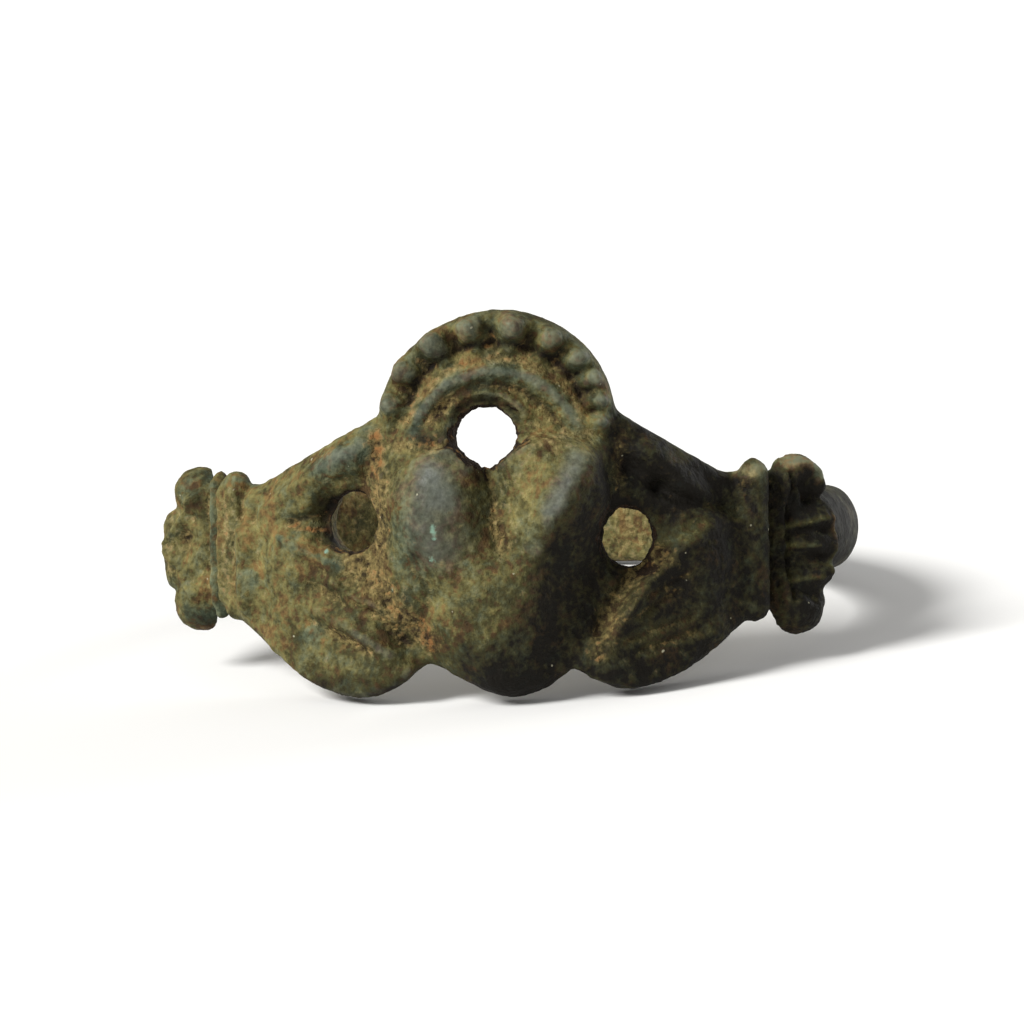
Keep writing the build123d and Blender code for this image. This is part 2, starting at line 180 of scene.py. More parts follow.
# %% Mark the regions
BEZEL_END = 13.6  # across, where the left frill ends
HEART_ACROSS, FRILL_UP = 0.05, -0.2  # their middles
FACE = FACE_RADIUS - 0.9, FACE_RADIUS - 0.3  # reach
HEART_SIDES, HEART_TOP, LOBES = (4.2, 3.5), (3.6, 3.0), (-3.0, -1.5)
HAND_START, HAND_END, CROWN_FOOT = (3.4, 4.2), (9.2, 8.4), (3.3, 3.8)
FRILL_START, FRILL_END, FRILL_MIDDLE = (11.3, 11.9), (14.5, 13.5), (1.5, 1.1)
CUFFS, HOOP_EDGES, HOOP_OUTSIDE = (11.2, 10.6), (1.6, 1.3), (10.75, 10.55)
BACK = 9.9, 9.6  # reach
OFF_HOLE = 1.0, 1.4  # from the middle of the crown's hole
Hole = namedtuple("Hole", "across up radius")
CROWN_HOLE = Hole(-0.27, 3.17, 0.96)
LEFT_HOLE = Hole(-4.45, 0.55, 0.8)
RIGHT_HOLE = Hole(4.08, 0.03, 0.88)

across, up, reach = on_bezel(places)
aside = abs(across)
from_hole = np.hypot(across - CROWN_HOLE.across, up - CROWN_HOLE.up)
on_face = smooth_step(*FACE, reach) * smooth_step(BEZEL_END, BEZEL_END - 1, aside)
on_heart = on_face * smooth_step(*HEART_SIDES, abs(across - HEART_ACROSS))
on_heart = on_heart * smooth_step(*HEART_TOP, up)
on_heart = on_heart * smooth_step(*OFF_HOLE, from_hole)
on_lobes = on_heart * smooth_step(*LOBES, up)
on_hands = on_face * smooth_step(*HAND_START, aside) * smooth_step(*HAND_END, aside)
on_crown = on_face * smooth_step(*CROWN_FOOT, up)
on_back = smooth_step(*BACK, reach)
on_frill = smooth_step(*FRILL_START, -across) * smooth_step(*FRILL_MIDDLE, abs(up - FRILL_UP))
on_frill = on_frill * smooth_step(*FRILL_END, -across)
on_hoop = (1 - smooth_step(*CUFFS, aside)) * smooth_step(*HOOP_EDGES, abs(up))
on_hoop = on_hoop * smooth_step(*HOOP_OUTSIDE, reach)
for name, region in {"heart": on_heart, "hands": on_hands, "hoop": on_hoop}.items():
    print("corners of the", name, int((region > 0.5).sum()))

# %% [markdown]
# A few rounds take the sharpness off the whole casting, and cords, bands and folds keep
# the rest of their relief. Hands, crown and the bezel's back get more rounds. The heart
# was handled most and the hoop was polished, so they get many, as does the thin web of
# the left frill. The heart's lobes get the most, until they flow into each other.

# %% Soften each region
ROUNDS, MORE, MUCH, MOST = 5, 9, 32, 60  # each on top of those before it

worn_once = soften(places, ROUNDS)
worn_more = soften(worn_once, MORE)
worn_much = soften(worn_more, MUCH)
worn_most = soften(worn_much, MOST)
some = np.max([on_hands, on_crown, on_back], axis=0)[:, None]
much = np.max([on_heart, on_hoop, on_frill], axis=0)[:, None]
places = worn_once + some * (worn_more - worn_once)
places = places + much * (worn_much - places)
places = places + on_lobes[:, None] * (worn_most - places)
print("rounds on the lobes", ROUNDS + MORE + MUCH + MOST, "and on the cords", ROUNDS)

# %% [markdown]
# ## Strokes of the mould's maker
#
# The mould's maker cut the recess beside the thumb, the grooves between the fingers and
# the valley of the heart with strokes of a tool, and left the crown's arch and pellets
# standing. Each stroke here follows a path of places on the bezel. A negative depth raises
# the surface and a positive one presses it in, with a smooth bell curve as its section.
# Brushes in Blender's sculpt mode could carve the same relief, but a list of paths can be
# read and corrected one stroke at a time.

# %% Paths that more than one stroke or stain follows, in millimetres
Stroke = namedtuple("Stroke", "depth width path")
CROWN_ACROSS = 0.05
CROWN_SPRING = 3.8  # up, where the crown's outer arch starts


def arch(across, up, half_width, rise, span):
    """Places along an arch over this middle, to this many degrees on both sides of upright."""
    turns = [radians(a) for a in np.linspace(-span, span, 13)]
    return [(across + half_width * sin(t), up + rise * cos(t)) for t in turns]


CROWN_ARC = arch(CROWN_ACROSS, 2.57, 2.6, 2.6, 72)
UNDER_PELLETS = arch(CROWN_ACROSS, CROWN_SPRING, 2.72, 2.22, 80)
LIP = arch(CROWN_HOLE.across, CROWN_HOLE.up, 1.36, 1.36, 60)
UNDER_LIP = arch(CROWN_HOLE.across, CROWN_HOLE.up, 1.14, 1.14, 60)
CHANNEL = [(5.1, -0.5), (4.22, -1.1), (3.6, -1.95), (3.15, -2.8)]
LEFT_RECESS = [(-5.3, 1.15), (-5.65, 0.8), (-5.5, 0.2)]
PETAL_RIM = [(10.55, 0.5), (10.68, 0.0), (10.65, -0.6), (10.4, -1.2)]
LOBE_RIM = [(9.5, 2.2), (9.95, 2.3), (10.45, 1.8), (10.55, 1.3)]
PALM_STREAKS = [
    [(4.18, -2.34), (5.46, -1.62)],
    [(3.79, -3.09), (5.92, -2.4)],
    [(4.3, -3.38), (6.12, -2.86)],
    [(4.5, -1.75), (5.9, -1.0)],
]
RIBS = [
    [(9.46, 0.2), (10.32, 0.48)],
    [(9.44, -0.35), (10.05, -0.37)],
    [(9.5, -1.45), (10.2, -1.3)],
]
print("places along an arch", len(CROWN_ARC), "streaks", len(PALM_STREAKS), "ribs", len(RIBS))

# %% What the strokes raise: depth, width and path
RAISED = [
    # crown: rim, smooth arch, lip over the hole, left foot
    Stroke(-0.16, 0.28, arch(CROWN_ACROSS, CROWN_SPRING, 3.45, 2.98, 84)),
    Stroke(-0.13, 0.36, CROWN_ARC),
    Stroke(-0.14, 0.12, LIP),
    Stroke(-0.2, 0.22, [(-3.25, 3.65), (-3.28, 3.1)]),
    # heart: soft slopes round both lobes, crests of the lobes
    Stroke(-0.3, 0.35, [(-3.5, 0.8), (-3.35, 2.1), (-2.7, 2.95), (-1.7, 3.1)]),
    Stroke(-0.2, 0.3, [(0.9, 2.9), (1.75, 3.2), (3.1, 2.6)]),
    Stroke(-0.35, 0.5, [(2.6, 2.5), (2.1, 1.7), (1.6, 0.7), (1.2, -0.2)]),
    Stroke(-0.15, 0.6, [(-1.75, 1.9), (-1.8, 0.6), (-1.2, -1.5), (-0.1, -4.2)]),
    # left hand: broad thumb, soft wrist, soil beside the palm, ridges of the fingers
    Stroke(-0.35, 0.5, [(-7.9, 1.15), (-6.2, 2.0), (-4.1, 3.0)]),
    Stroke(-0.45, 0.38, [(-8.55, 1.3), (-8.55, -1.9)]),
    Stroke(-0.35, 0.45, [(-4.5, -0.5), (-4.0, -1.4), (-3.2, -2.3)]),
    Stroke(-0.2, 0.4, [(-3.5, 2.0), (-3.5, 0.4), (-3.3, -1.4)]),
    Stroke(-0.18, 0.18, [(-6.86, 0.15), (-4.84, -0.76)]),
    Stroke(-0.2, 0.2, [(-5.0, -1.15), (-2.67, -2.37)]),
    Stroke(-0.18, 0.2, [(-5.6, -2.0), (-3.2, -3.35)]),
    # right hand: upper edge of the palm
    Stroke(-0.22, 0.18, [(6.54, 0.26), (5.6, -0.23), (5.18, -0.85), (4.54, -1.27), (4.08, -1.92),
                         (3.5, -2.8)]),
    # left cuff: band up to its cord, the cord, pleats of the frill
    Stroke(-0.3, 0.22, [(-9.75, 1.5), (-9.75, -1.7)]),
    Stroke(-0.2, 0.13, [(-10.4, 1.75), (-10.4, -1.95)]),
    Stroke(-0.22, 0.14, [(-11.1, 1.3), (-11.7, 0.65), (-12.3, -0.1)]),
    Stroke(-0.22, 0.14, [(-11.1, -1.7), (-11.7, -1.2), (-12.3, -0.4)]),
    # right cuff: cord, ribs of the frill, rims of its petals
    Stroke(-0.2, 0.1, [(9.33, 1.9), (9.33, -2.0)]),
    Stroke(-0.15, 0.12, PETAL_RIM),
    Stroke(-0.15, 0.14, LOBE_RIM),
] + [Stroke(-0.14, 0.1, rib) for rib in RIBS]
print("strokes raised", len(RAISED))

# %% What the strokes press in
PRESSED = [
    # left hand: recess by the hole, its tail, line under the thumb, pit, grooves of fingers
    Stroke(0.5, 0.25, LEFT_RECESS),
    Stroke(0.25, 0.13, [(-5.75, 0.85), (-6.7, 0.6)]),
    Stroke(0.15, 0.18, [(-4.9, 1.75), (-4.2, 1.95), (-3.7, 1.9)]),
    Stroke(0.35, 0.2, [(-2.95, -2.93), (-2.8, -2.97)]),
    Stroke(0.2, 0.14, [(-5.9, -1.3), (-4.0, -2.1), (-3.1, -2.7)]),
    Stroke(0.18, 0.14, [(-6.0, -2.4), (-3.9, -3.35)]),
    # right hand: groove under the thumb in two lengths, channel beside the heart
    Stroke(0.5, 0.32, [(4.15, 2.25), (4.6, 1.95), (5.1, 1.6)]),
    Stroke(0.4, 0.22, [(5.1, 1.55), (5.7, 1.2), (6.4, 0.98), (7.3, 0.9)]),
    Stroke(0.3, 0.24, CHANNEL),
    # heart: valley between the lobes, crack down its middle, steep right side
    Stroke(0.4, 0.5, [(-0.1, 2.0), (0.05, 1.0), (0.25, -0.1)]),
    Stroke(0.1, 0.1, [(-0.2, 2.1), (0.05, 1.3), (-0.05, 0.7)]),
    Stroke(0.25, 0.6, [(3.1, 0.6), (2.7, -1.8), (1.7, -3.7)]),
    # crown: gap under its pellets, gap under its lip, pit at its left foot, line inside its arch
    Stroke(0.22, 0.13, UNDER_PELLETS),
    Stroke(0.1, 0.09, UNDER_LIP),
    Stroke(0.2, 0.22, [(-2.35, 3.35), (-1.9, 3.1)]),
    Stroke(0.15, 0.1, [(-2.15, 3.1), (-2.0, 3.35)]),
    Stroke(0.12, 0.12, arch(CROWN_ACROSS, 2.57, 2.1, 2.08, 66)),
    # left cuff: grooves on both sides of the cord, pits of the pleats
    Stroke(0.2, 0.09, [(-10.08, 1.6), (-10.08, -1.9)]),
    Stroke(0.2, 0.12, [(-10.85, 1.5), (-10.85, -1.8)]),
    Stroke(0.22, 0.25, [(-11.75, 0.15), (-11.75, -0.25)]),
    Stroke(0.15, 0.15, [(-11.5, 1.0)]),
    Stroke(0.15, 0.15, [(-12.0, -0.9)]),
    # right cuff: grooves beside the cord, hollow petals of the frill
    Stroke(0.3, 0.1, [(8.98, 2.0), (8.98, -2.2)]),
    Stroke(0.3, 0.1, [(9.52, 1.8), (9.52, -1.9)]),
    Stroke(0.5, 0.28, [(9.95, 1.5), (10.15, 1.05)]),
    Stroke(0.2, 0.14, [(9.8, 0.05), (10.45, 0.08)]),
    Stroke(0.28, 0.2, [(9.85, -0.85), (10.3, -0.8)]),
    Stroke(0.25, 0.2, [(9.8, -1.75), (10.1, -1.95)]),
] + [Stroke(0.12, 0.12, streak) for streak in PALM_STREAKS]
print("strokes pressed in", len(PRESSED))

# %% [markdown]
# The pellets are the crown's jewels. Wear has spread them until they nearly touch, so
# each gets a soft swelling, less wide on the right where they stand closer together, and
# a small dint towards the next one keeps them apart.

# %% Swell the pellets
PELLET_TURNS = [-82, -59, -35, -13, 10, 32, 51, 67, 81, 95]  # degrees from the crown's top
PELLET_WIDTHS = [0.32, 0.36, 0.4, 0.42, 0.42, 0.38, 0.28, 0.25, 0.25, 0.24]
ROW_HALF_WIDTH, ROW_RISE = 3.25, 2.78
SWELLING, DINT, DINT_WIDTH, DINT_INSET = 0.13, 0.14, 0.17, 0.3


def on_crown_edge(turn, inset=0.0):
    """The place at this many degrees along the crown's row of pellets."""
    beside = (ROW_HALF_WIDTH - inset) * sin(radians(turn))
    above = (ROW_RISE - inset) * cos(radians(turn))
    return (CROWN_ACROSS + beside, CROWN_SPRING + above)


PELLETS = [on_crown_edge(turn) for turn in PELLET_TURNS]
DINTS = [on_crown_edge((a + b) / 2, DINT_INSET) for a, b in zip(PELLET_TURNS, PELLET_TURNS[1:])]
RAISED += [Stroke(-SWELLING, width, [place]) for width, place in zip(PELLET_WIDTHS, PELLETS)]
PRESSED += [Stroke(DINT, DINT_WIDTH, [place]) for place in DINTS]
print("strokes", len(RAISED), "raised and", len(PRESSED), "pressed in")

# %% [markdown]
# A press stops at a floor under the bezel's face, so it can't cut through the thin plate
# or fold the rim of a hole.

# %% Work the strokes into the casting
FLOOR_RADIUS = 9.95
FACING = FACE_RADIUS - 0.45, FACE_RADIUS - 0.1  # reach, where the strokes fade in
BLUNTED = 2  # rounds of softening after the strokes


def gap_to(path, across, up):
    """The distance from each place to a path of one or more places, in millimetres."""
    here = np.stack([across, up], axis=1)
    gap = np.full(len(here), np.inf)
    for start, end in zip(path, path[1:] or path):
        run = np.subtract(end, start)
        offset = here - start
        share = np.clip(offset @ run / max(run @ run, 1e-9), 0, 1)
        gap = np.minimum(gap, np.linalg.norm(offset - share[:, None] * run, axis=1))
    return gap


def nearness(stroke, across, up):
    """How near each place is to a stroke's path: 1 on it, falling off over its width."""
    return np.exp(-((gap_to(stroke.path, across, up) / stroke.width) ** 2))


def outward(places):
    """The direction from the finger's axis through each place, on the lying ring."""
    upright = (places - bore_middle) @ lying
    upright[:, 2] = 0
    return (upright / np.linalg.norm(upright, axis=1)[:, None]) @ lying.T


across, up, reach = on_bezel(places)
facing = smooth_step(*FACING, reach) * smooth_step(BEZEL_END, BEZEL_END - 1, abs(across))
lift = -sum(s.depth * nearness(s, across, up) for s in RAISED) * facing
press = sum(s.depth * nearness(s, across, up) for s in PRESSED) * facing
press = np.minimum(press, np.maximum(reach + lift - FLOOR_RADIUS, 0))
places = places + (lift - press)[:, None] * outward(places)
places = soften(places, BLUNTED)
print("highest rise", round(float(lift.max()), 2), "mm")
print("deepest cut", round(float(press.max()), 2), "mm")

# %% [markdown]
# ## Soil in the steep corners
#
# Soil has filled the corners at the foot of the heart and of the left palm with soft
# slopes. Each fill is a ramp that falls away from a path on the shoulder of the raised
# form. Wherever the casting lies lower than the ramp, it is lifted onto it. Smoothing
# alone would fill the corners too, but wear the raised forms down with them.

# %% Fill the corners
Fill = namedtuple("Fill", "height slope path")
FILLS = [
    Fill(11.25, 0.55, [(-1.6, 2.3), (-2.2, 2.2), (-2.5, 1.7), (-2.6, 0.68), (-2.45, -0.83),
                       (-2.3, -1.3)]),
    Fill(11.2, 0.85, [(1.2, 2.4), (1.8, 2.6), (2.7, 2.4)]),
    Fill(10.85, 0.6, [(-5.3, -0.6), (-4.6, -1.7), (-3.8, -2.5)]),
]
ON_PLATE, CLEAR_OF_HOLE = (9.9, 10.15), (0.9, 1.25)  # reach, and from the hole's middle
BLENDED = 0.02, 0.15  # depths of soil from which its edge is smoothed, and fully so
EDGE_ROUNDS, SOIL_ROUNDS = 6, 8  # of softening: that of the depths, that of the surface

across, up, reach = on_bezel(places)
from_hole = np.hypot(across - CROWN_HOLE.across, up - CROWN_HOLE.up)
ramp = np.max([f.height - f.slope * gap_to(f.path, across, up) for f in FILLS], axis=0)
filled = np.clip(ramp - reach, 0, None) * smooth_step(*ON_PLATE, reach)
filled = filled * smooth_step(*CLEAR_OF_HOLE, from_hole)
places = places + filled[:, None] * outward(places)
blend = smooth_step(*BLENDED, soften(filled, EDGE_ROUNDS))[:, None]
places = places + blend * (soften(places, SOIL_ROUNDS) - places)
print("deepest fill", round(float(filled.max()), 2), "mm")

# %% [markdown]
# ## The worn hole under the crown
#
# The exact model's hole is a circle. On the real ring the two lobes of the heart narrow
# its lower half to a blunt point. Here the corners below the hole's middle slide towards
# its middle line, and the slide fades out a little way from its rim.

# %% Narrow the lower half of the crown's hole
NARROWED = 0.3  # share of the way to the middle line
RIM = 1.9 * CROWN_HOLE.radius, 1.05 * CROWN_HOLE.radius
LOWER_HALF = 0.3, 1.0  # below the hole's middle
quarter_turn = np.array([[0, -1, 0], [1, 0, 0], [0, 0, 1]])  # about the finger's axis


def sideways(places):
    """The direction round the finger, to the viewer's right, at places on the lying ring."""
    return (outward(places) @ lying) @ quarter_turn.T @ lying.T


across, up, reach = on_bezel(places)
off_across, off_up = across - CROWN_HOLE.across, up - CROWN_HOLE.up
near_rim = smooth_step(*RIM, np.hypot(off_across, off_up))
slide = -NARROWED * off_across * near_rim * smooth_step(*LOWER_HALF, -off_up)
places = places + slide[:, None] * sideways(places)
print("largest slide", round(float(abs(slide).max()), 2), "mm")

# %% [markdown]
# Corrosion has nibbled the rims of all three holes, and has made the one in the left hand a
# sixth wider than it was cast. The corners round each hole slide away from its middle or
# towards it, by an even share and an uneven one, less and less with distance.

# %% Nibble the rims of the holes
WIDER = {CROWN_HOLE: 0.0, LEFT_HOLE: 0.17, RIGHT_HOLE: 0.0}  # shares of each hole's radius
WIDE_RING = 2.2  # how far from a hole's middle its corners still move, in radii
NIBBLE_SIZE, NIBBLE = 0.3, 0.09  # millimetres, and a share of the radius
H, LACUNARITY, OCTAVES = 1.0, 2.0, 3  # each octave of noise has half the size and strength


def fractal(places, size):
    """Fractal noise from about -1 to 1 with features of this size in millimetres."""
    return np.array([noise.fractal(Vector(p), H, LACUNARITY, OCTAVES) for p in places / size])


upward = np.array([0, 0, 1]) @ lying.T
for hole, wider in WIDER.items():
    across, up, reach = on_bezel(places)
    away = np.stack([across - hole.across, up - hole.up], axis=1)
    near = np.linalg.norm(away, axis=1) < WIDE_RING * hole.radius
    away, here = away[near], places[near]
    from_middle = np.linalg.norm(away, axis=1)
    rim = smooth_step(1.5 * hole.radius, 1.1 * hole.radius, from_middle)
    grown = wider * smooth_step(WIDE_RING * hole.radius, 1.1 * hole.radius, from_middle)
    grown += NIBBLE * fractal(here, NIBBLE_SIZE) * rim
    places[near] += grown[:, None] * (away[:, :1] * sideways(here) + away[:, 1:] * upward)
    print("rim moved by up to", round(float(abs(grown).max() * hole.radius), 2), "mm")

# %% [markdown]
# ## Corroded skin
#
# Corrosion eats a casting unevenly. Broad waves of over a millimetre bend its outlines,
# and smaller pits roughen its face. Fractal noise at two sizes does both. The hoop stays
# calmer, because a finger polished it. A Displace modifier could do this, with a vertex
# group to spare the hoop, but here the regions are arrays already.

# %% Wave and pit the surface
WAVE_SIZE, WAVE_DEPTH = 1.4, 0.035
PIT_SIZE, PIT_DEPTH = 0.33, 0.035
CALM = 0.2  # share of the depth that reaches the hoop


def write_places():
    """Puts the corners back into the mesh and returns their normals."""
    skin.vertices.foreach_set("co", places.ravel())
    skin.update()
    found = np.empty(len(places) * 3)
    skin.vertices.foreach_get("normal", found)
    return found.reshape(-1, 3)


normals = write_places()
roughened = CALM + (1 - CALM) * on_face
other_noise = places + 40.0  # moved away, so that the pits don't repeat the waves
depth = WAVE_DEPTH * fractal(places, WAVE_SIZE) + PIT_DEPTH * fractal(other_noise, PIT_SIZE)
depth = depth * roughened
places = places + depth[:, None] * normals
normals = write_places()
print("surface moved by up to", round(float(abs(depth).max()), 3), "mm")

# %% [markdown]
# ## Where soil stays and where wear shows
#
# Soil stays in the hollows, and touch wears the ridges to a smooth blue-grey. A hollow is
# where smoothing would lift the surface, and a ridge is where it would sink. That one
# measure, taken after few rounds and after many, gives both. The limits are lifts in
# millimetres, and the fine ones count half. A shader's Pointiness could mark ridges too,
# but it sees no further than a corner's nearest neighbours, and these are wider.

# %% Measure hollows and ridges
FEW, MANY = 10, 60  # rounds of softening
BLUR = 2  # rounds over the finished masks
FINE_HOLLOW, BROAD_HOLLOW = (0.004, 0.04), (0.01, 0.12)
FINE_RIDGE, BROAD_RIDGE = (0.006, 0.05), (0.02, 0.14)

fine_lift = ((soften(places, FEW) - places) * normals).sum(axis=1)
broad_lift = ((soften(places, MANY) - places) * normals).sum(axis=1)
hollow = 0.5 * smooth_step(*FINE_HOLLOW, fine_lift) + smooth_step(*BROAD_HOLLOW, broad_lift)
ridge = 0.5 * smooth_step(*FINE_RIDGE, -fine_lift) + smooth_step(*BROAD_RIDGE, -broad_lift)
hollow = soften(np.clip(hollow, 0, 1), BLUR)
ridge = soften(np.clip(ridge, 0, 1), BLUR)
print("share of hollows", round(float(hollow.mean()), 3))
print("share of ridges", round(float(ridge.mean()), 3))

# %% [markdown]
# ## Stains
#
# The patina is a chart of its own: dry soil beside the heart, grey wear with a painted
# sheen on its lobes, blue-green on the thumb and small spots of verdigris. Each row is a
# soft stain along a path on the bezel, like the strokes above, with its strength and its
# width. "dark" and "pale" move the crust's tone, and the others lay a finish over it. Most
# dark stains are painted shade, and the pale ones on raised rims are painted highlights.
# Where stains of one finish meet, the stronger one counts. They could be painted on the
# mesh by hand, but a chart can be corrected one stain at a time.

# %% Chart of the soil, in millimetres
Stain = namedtuple("Stain", "strength width path")
STAINS = {}
STAINS["soil"] = [
    # beside the heart and the left palm, at the crown's left foot and inside its arch
    Stain(0.9, 0.4, [(-3.4, 1.8), (-3.45, 0.9), (-3.5, -0.1), (-3.5, -1.0), (-3.0, -2.1),
                     (-2.0, -3.0)]),
    Stain(0.9, 0.5, [(-4.4, -0.5), (-3.7, -1.2), (-3.1, -1.9)]),
    Stain(0.8, 0.3, [(-3.7, 3.2), (-3.5, 2.0)]),
    Stain(0.7, 0.25, [(-3.0, 2.95), (-1.6, 3.0)]),
    Stain(0.5, 0.17, arch(CROWN_ACROSS, 2.95, 2.7, 2.6, 75)),
    Stain(0.6, 0.22, [(-1.9, 3.7), (-1.3, 4.45)]),
    # in the heart's valley, round its right lobe and in the channel beside it
    Stain(0.25, 0.45, [(0.5, 0.3), (0.8, 1.6), (1.2, 2.5)]),
    Stain(0.5, 0.3, [(1.4, 3.0), (2.6, 3.2)]),
    Stain(0.5, 0.28, [(3.84, 3.0), (3.84, 1.6)]),
    Stain(0.55, 0.4, CHANNEL + [(3.0, -3.4)]),
    # on the cuffs, under the left thumb, between the fingers
    Stain(0.45, 0.3, [(-12.3, 0.8), (-12.3, -0.9)]),
    Stain(0.4, 0.5, [(-9.3, 1.2), (-9.3, -1.4)]),
    Stain(0.9, 0.1, [(-6.7, 0.5), (-5.75, 0.36)]),
    Stain(0.5, 0.15, [(8.0, 1.6), (8.1, 1.9)]),
    Stain(0.5, 0.15, [(10.0, 1.1)]),
    Stain(0.4, 0.2, [(-5.0, -2.7), (-3.6, -3.3)]),
]
STAINS["soil"] += [Stain(0.33, 0.14, streak) for streak in PALM_STREAKS]
print("stains of soil", len(STAINS["soil"]))

# %% Chart of the rust-brown crumbs and of the verdigris
STAINS["rust"] = [
    # at the crown's left foot and arch, beside the heart, in the left hand and its cuff
    Stain(0.5, 0.25, [(-3.7, 3.2), (-3.55, 2.0)]),
    Stain(0.7, 0.14, [(-1.0, 5.4), (-0.4, 5.5)]),
    Stain(0.2, 0.2, arch(CROWN_ACROSS, 2.95, 2.8, 2.7, 75)),
    Stain(0.15, 0.4, [(-3.4, 1.0), (-3.5, -1.0), (-2.8, -2.2)]),
    Stain(0.6, 0.25, [(-2.35, 3.35), (-1.9, 3.1)]),
    Stain(0.4, 0.3, LEFT_RECESS),
    Stain(0.6, 0.1, [(-6.6, 0.5), (-5.75, 0.36)]),
    Stain(0.6, 0.3, [(-2.1, -2.4), (-1.97, -3.2)]),
    Stain(0.5, 0.2, [(-11.17, 0.92)]),
    Stain(0.5, 0.25, [(-9.13, -1.47)]),
]
print("stains of rust", len(STAINS["rust"]))
STAINS["verdigris"] = [
    # specks beside the left hole, on the heart's left lobe and on the left fingers
    Stain(1.0, 0.13, [(-5.4, -0.27)]),
    Stain(0.85, 0.12, [(-1.53, 0.45), (-1.53, 0.15)]),
    Stain(0.85, 0.14, [(-1.66, -0.5)]),
    Stain(0.7, 0.1, [(-3.08, -1.46)]),
    Stain(0.2, 0.3, [(-5.83, -2.74)]),
]
print("stains of verdigris", len(STAINS["verdigris"]))

# %% Chart of the smooth blue-grey wear with its painted sheen, and of the blue-green patina
STAINS["wear_and_sheen"] = [
    # heart's lobes, left thumb, crown's arch, tops of the right cuff, then the pellets; on the
    # lobes, the cuff's tops and the pellets the patches also paint a sheen where highlights fall
    Stain(0.9, 0.55, [(-1.65, 2.1), (-1.35, 1.3)]),
    Stain(0.55, 0.9, [(-1.9, 1.5), (-1.4, -0.1)]),
    Stain(0.65, 0.3, [(2.25, 2.5), (1.55, 1.0)]),
    Stain(0.25, 0.3, [(-5.5, 2.4), (-4.1, 2.85)]),
    Stain(0.15, 0.3, CROWN_ARC),
    Stain(0.5, 0.25, [(8.1, 1.95), (8.5, 2.15)]),
    Stain(0.5, 0.2, LOBE_RIM[:3]),
]
STAINS["wear_and_sheen"] += [Stain(0.25, 0.25, [place]) for place in PELLETS]
print("stains of worn", len(STAINS["wear_and_sheen"]))
STAINS["green"] = [
    # left cuff, thumb and fingers, left flank of the heart, right cuff, crown, pellets
    Stain(0.6, 0.16, [(-10.4, 1.7), (-10.4, -1.9)]),
    Stain(0.75, 0.4, [(-5.3, 2.3), (-4.1, 2.75)]),
    Stain(0.4, 0.3, [(-6.45, 0.0)]),
    Stain(0.5, 0.14, [(-6.86, 0.19), (-4.84, -0.76)]),
    Stain(0.4, 0.35, [(-8.21, -1.06)]),
    Stain(0.6, 0.35, [(-5.83, -2.74)]),
    Stain(0.4, 0.5, [(-2.4, 0.7), (-2.3, -0.8)]),
    Stain(0.6, 0.3, [(-11.4, 1.75)]),
    Stain(0.6, 0.35, [(-11.2, -2.4), (-10.3, -2.1)]),
    Stain(0.5, 0.3, [(-9.0, 1.9)]),
    Stain(0.4, 0.3, [(8.4, 2.1)]),
    Stain(0.45, 0.3, CROWN_ARC),
    Stain(0.5, 0.2, LOBE_RIM[:3]),
]
STAINS["green"] += [Stain(0.45, 0.35, [place]) for place in PELLETS]
print("stains of green", len(STAINS["green"]))

# %% Chart of darker crust and painted shade, and of paler crust and painted highlights
STAINS["dark"] = [
    # right cuff and hand, hollows of the left hand, gaps of the crown, lower edges, left cuff:
    # mostly painted shade, in hollows, pits, grooves and gaps, along lower edges and on the right
    Stain(0.15, 0.6, [(9.9, 1.3), (10.1, -0.5), (9.9, -1.8)]),
    Stain(0.15, 0.5, [(5.6, 2.0), (7.3, 1.4)]),
    Stain(0.8, 0.27, LEFT_RECESS),
    Stain(0.3, 0.12, [(-5.8, 0.9), (-6.6, 0.64)]),
    Stain(0.45, 0.2, [(-2.9, -2.95)]),
    Stain(0.4, 0.25, [(-2.35, 3.35), (-1.9, 3.1)]),
    Stain(0.45, 0.13, UNDER_PELLETS),
    Stain(0.3, 0.1, UNDER_LIP),
    Stain(0.25, 0.12, arch(CROWN_ACROSS, 2.57, 2.15, 2.15, 66)),
    Stain(0.25, 0.5, [(-11.3, 1.6)]),
    Stain(0.35, 0.4, [(-5.6, -4.5), (-3.2, -4.6)]),
    Stain(0.25, 0.8, [(-1.3, -3.4), (0.4, -4.5)]),
    Stain(0.3, 0.3, [(4.15, 2.25), (5.1, 1.55), (6.3, 0.98)]),
    Stain(0.15, 0.5, [(7.0, -0.6), (5.8, -1.2), (5.0, -2.2)]),
    Stain(0.25, 0.35, [(-11.2, -2.6)]),
    Stain(0.35, 0.2, [(-11.78, 0.1)]),
    Stain(0.3, 0.15, [(-11.5, 1.0)]),
]
